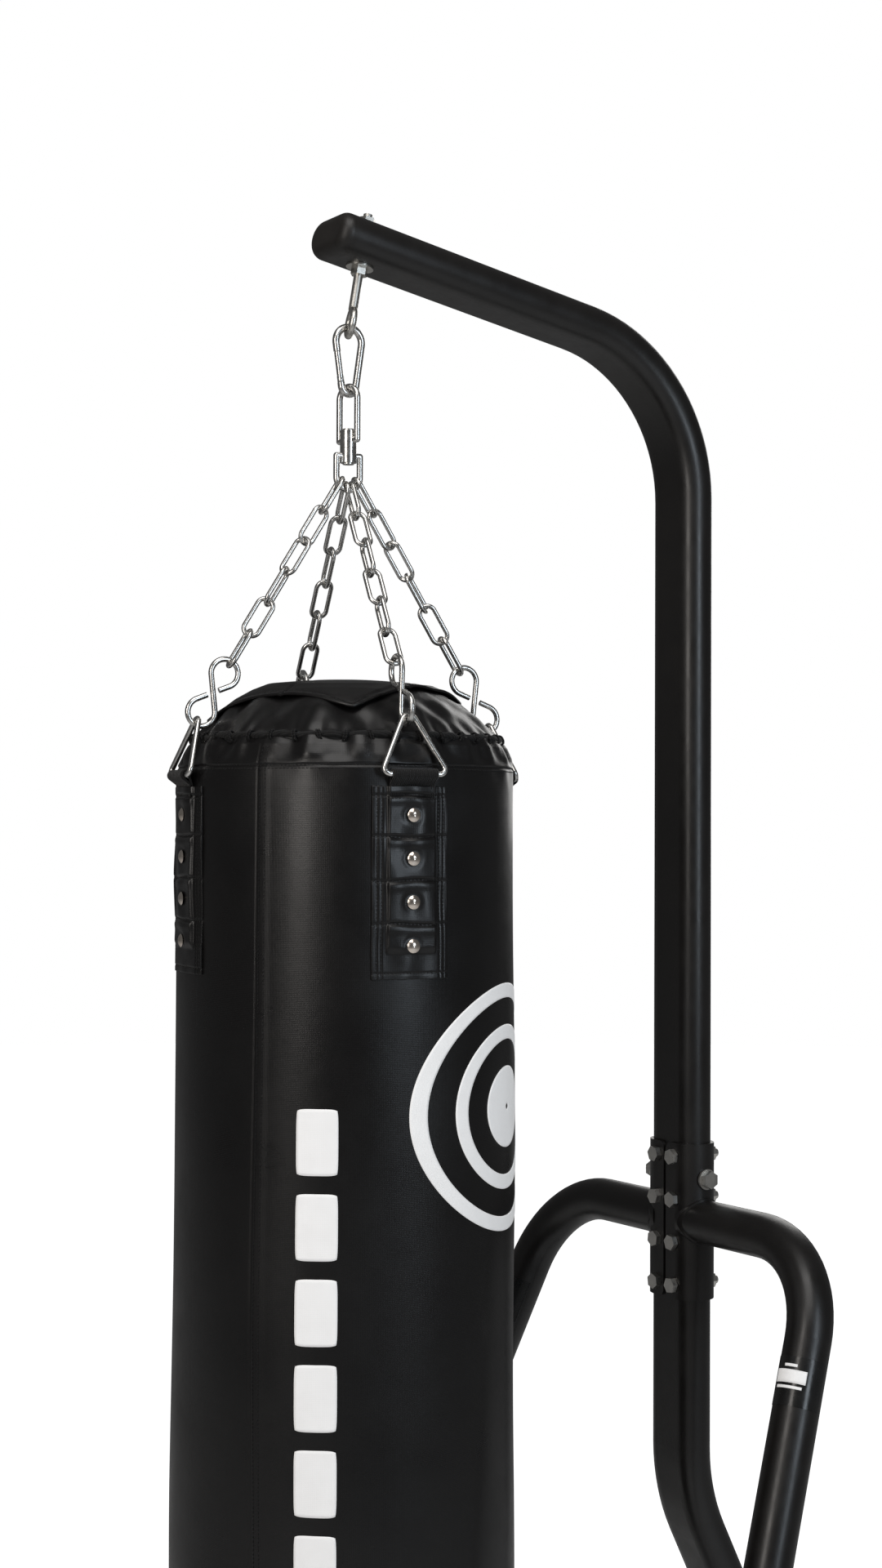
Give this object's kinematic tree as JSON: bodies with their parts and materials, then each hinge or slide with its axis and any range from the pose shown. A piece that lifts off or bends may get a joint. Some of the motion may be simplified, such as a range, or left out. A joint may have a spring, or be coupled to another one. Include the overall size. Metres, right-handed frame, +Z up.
{
  "type": "punching bag on stand",
  "caption": "Free-standing tripod stand with an oval mast and curved arm, from which a stuffed vinyl punching bag hangs on a snap hook, swivel and chains.",
  "frame": {"origin": "centre of the whole object's footprint, on the floor", "axes": "+Z up; -Y the way the arm points from the mast to the bag; +X to the right seen from the bag's front"},
  "size_m": [1.0376, 1.2628, 2.2638],
  "materials": {
    "black_frame": "satin",
    "black_plastic": "satin",
    "foot_rubber": "matte",
    "zinc_steel": "satin",
    "bright_chain": "polished",
    "webbing": "matte",
    "vinyl": "gloss",
    "rivet_metal": "polished",
    "cord": "matte",
    "stuffing": "matte",
    "white_print": "matte",
    "label_film": "gloss"
  },
  "bodies": {
    "stand": {"upper_mast": "black_frame", "arm_end_cap": "black_plastic", "lower_mast": "black_frame", "rear_end_cap": "black_plastic", "clamp_right": "black_frame", "clamp_left": "black_frame", "leg_right": "black_frame", "leg_left": "black_frame", "leg_welds": "black_frame", "leg_end_caps": "black_plastic", "rubber_feet": "foot_rubber", "weight_pegs": "black_frame", "clamp_bolts": "zinc_steel", "clamp_nuts": "zinc_steel", "cross_bolt": "zinc_steel", "cross_bolt_washers": "zinc_steel", "cross_bolt_nut": "zinc_steel", "leg_labels": "label_film", "eye_bolt": "zinc_steel", "eye_bolt_washers": "zinc_steel", "eye_bolt_nuts": "zinc_steel"},
    "hook": {"snap_hook": "bright_chain"},
    "gate": {"snap_gate": "bright_chain", "gate_pin": "zinc_steel", "gate_spring": "zinc_steel"},
    "swivel_top": {"swivel_top_loop": "bright_chain", "swivel_top_barrel": "bright_chain"},
    "bag": {"swivel_pin": "zinc_steel", "swivel_bottom_barrel": "bright_chain", "swivel_bottom_loop": "bright_chain", "chain_front": "bright_chain", "chain_right": "bright_chain", "chain_back": "bright_chain", "chain_left": "bright_chain", "s_hook_front": "bright_chain", "s_hook_right": "bright_chain", "s_hook_back": "bright_chain", "s_hook_left": "bright_chain", "ring_front": "bright_chain", "ring_right": "bright_chain", "ring_back": "bright_chain", "ring_left": "bright_chain", "strap_front": "webbing", "strap_right": "webbing", "strap_back": "webbing", "strap_left": "webbing", "patch_front": "vinyl", "patch_right": "vinyl", "patch_back": "vinyl", "patch_left": "vinyl", "strap_rivets": "rivet_metal", "rivet_burrs": "zinc_steel", "bag_shell": "vinyl", "bag_bottom": "vinyl", "top_cap": "vinyl", "rim_cord": "cord", "lacing_cord": "cord", "filling": "stuffing", "print_target": "white_print", "print_bars": "white_print"}
  },
  "joints": [
    {"name": "hook_swing", "type": "hinge", "parent": "stand", "child": "hook", "pos_m": [0, -0.43154, 2.12896], "axis": [1, 0, 0], "range_deg": [-35, 9]},
    {"name": "gate_hinge", "type": "hinge", "parent": "hook", "child": "gate", "pos_m": [0, -0.44163, 2.08083], "axis": [-1, 0, 0], "range_deg": [0, 25], "stiffness_Nm_per_rad": 0.05, "springref_deg": -11.46},
    {"name": "swivel_swing", "type": "hinge", "parent": "hook", "child": "swivel_top", "pos_m": [0, -0.43154, 2.06527], "axis": [0, 1, 0], "range_deg": [-3.5, 3.5]},
    {"name": "bag_spin", "type": "hinge", "parent": "swivel_top", "child": "bag", "pos_m": [0, -0.43154, 2.00606], "axis": [0, 0, 1], "continuous": true}
  ]
}
